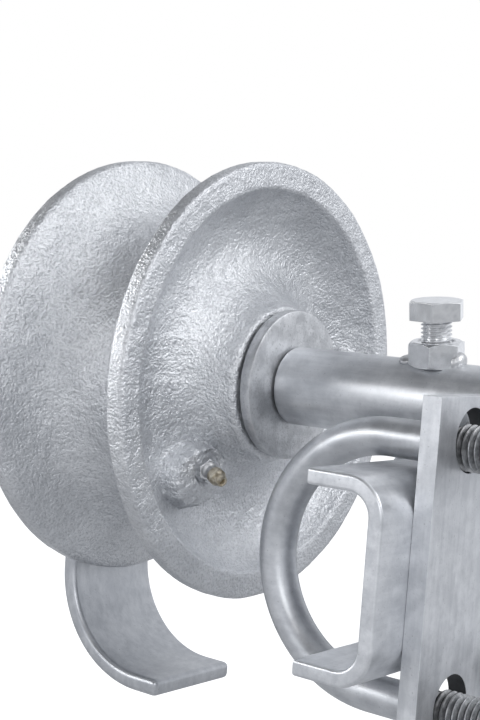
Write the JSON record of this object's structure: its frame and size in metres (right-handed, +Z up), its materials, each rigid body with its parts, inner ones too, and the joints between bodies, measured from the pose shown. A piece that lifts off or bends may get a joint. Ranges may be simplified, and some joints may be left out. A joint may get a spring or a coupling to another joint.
{
  "type": "gate wheel",
  "caption": "Grooved cast wheel on a roller-bearing stub axle, with a sleeve-and-plate bracket, U-bolts that clamp a gate-frame pipe, and a hooked guard.",
  "frame": {"origin": "centre of the wheel, on the axle line, midway between the flanges", "axes": "+Y along the axle, from the bracket towards the guard; +X along the rail that the wheel rolls on; +Z up"},
  "size_m": [0.1524, 0.2504, 0.1906],
  "materials": {
    "cast_zinc": "hot-dip galvanised over a rough sand casting, satin silver-grey",
    "nipple_metal": "plated steel hexagon with a yellow-passivated head",
    "bearing_steel": "ground and lightly greased bearing steel",
    "cage_brass": "pressed brass",
    "seal_rubber": "matt black rubber",
    "axle_zinc": "zinc-coated cold-drawn bar",
    "washer_zinc": "zinc-coated machined steel, slightly stained",
    "hardware_zinc": "hot-dip galvanised fasteners",
    "bar_zinc": "hot-dip galvanised flat bar, satin",
    "pipe_zinc": "hot-dip galvanised welded pipe, satin",
    "plate_zinc": "hot-dip galvanised plate, satin",
    "rod_zinc": "hot-dip galvanised round rod with cut threads",
    "bright_zinc": "bright electroplated zinc",
    "weld_metal": "galvanised weld metal, uneven"
  },
  "bodies": {
    "bracket": {"axle_sleeve": "pipe_zinc", "sleeve_weld": "weld_metal", "weld_nut": "bright_zinc", "weld_nut_beads": "weld_metal", "mounting_plate": "plate_zinc", "clamp_saddle": "bar_zinc", "saddle_weld": "weld_metal"},
    "axle": {"axle_shaft": "axle_zinc", "inner_bushing": "bearing_steel", "near_thrust_washer": "washer_zinc", "far_thrust_washer": "washer_zinc", "axle_end_washer": "hardware_zinc", "axle_end_nut": "hardware_zinc"},
    "wheel": {"wheel_casting": "cast_zinc", "grease_nipple": "nipple_metal", "near_outer_race": "bearing_steel", "far_outer_race": "bearing_steel", "near_dust_seal": "seal_rubber", "far_dust_seal": "seal_rubber"},
    "near_bearing": {"near_roller_cage": "cage_brass", "near_rollers": "bearing_steel"},
    "far_bearing": {"far_roller_cage": "cage_brass", "far_rollers": "bearing_steel"},
    "guard": {"guard_hook": "bar_zinc"},
    "set_bolt": {"set_bolt": "bright_zinc"},
    "left_u_bolt": {"left_u_bolt": "rod_zinc", "left_flat_washers": "hardware_zinc", "left_lock_washers": "hardware_zinc", "left_nuts": "hardware_zinc"},
    "right_u_bolt": {"right_u_bolt": "rod_zinc", "right_flat_washers": "hardware_zinc", "right_lock_washers": "hardware_zinc", "right_nuts": "hardware_zinc"}
  },
  "joints": [
    {"name": "axle_adjust", "type": "slide", "parent": "bracket", "child": "axle", "axis": [0, 1, 0], "range_m": [0, 0.012]},
    {"name": "wheel_spin", "type": "hinge", "parent": "axle", "child": "wheel", "pos_m": [0, 0, 0], "axis": [0, 1, 0], "continuous": true},
    {"name": "near_cage_turn", "type": "hinge", "parent": "axle", "child": "near_bearing", "pos_m": [0, -0.0205, 0], "axis": [0, 1, 0], "continuous": true},
    {"name": "far_cage_turn", "type": "hinge", "parent": "axle", "child": "far_bearing", "pos_m": [0, 0.0205, 0], "axis": [0, 1, 0], "continuous": true},
    {"name": "guard_swing", "type": "hinge", "parent": "axle", "child": "guard", "pos_m": [0, 0.0454, 0], "axis": [0, 1, 0], "range_deg": [-90, 90]},
    {"name": "set_bolt_draw", "type": "slide", "parent": "bracket", "child": "set_bolt", "axis": [-0.1616, 0, 0.9869], "range_m": [0, 0.009]},
    {"name": "left_u_bolt_draw", "type": "slide", "parent": "bracket", "child": "left_u_bolt", "axis": [0, 1, 0], "range_m": [-0.0058, 0.0183]},
    {"name": "right_u_bolt_draw", "type": "slide", "parent": "bracket", "child": "right_u_bolt", "axis": [0, 1, 0], "range_m": [-0.0024, 0.0217]}
  ],
  "couplings": [
    {"joint": "near_cage_turn", "follows": "wheel_spin", "ratio": 0.6034},
    {"joint": "far_cage_turn", "follows": "wheel_spin", "ratio": 0.6034}
  ]
}
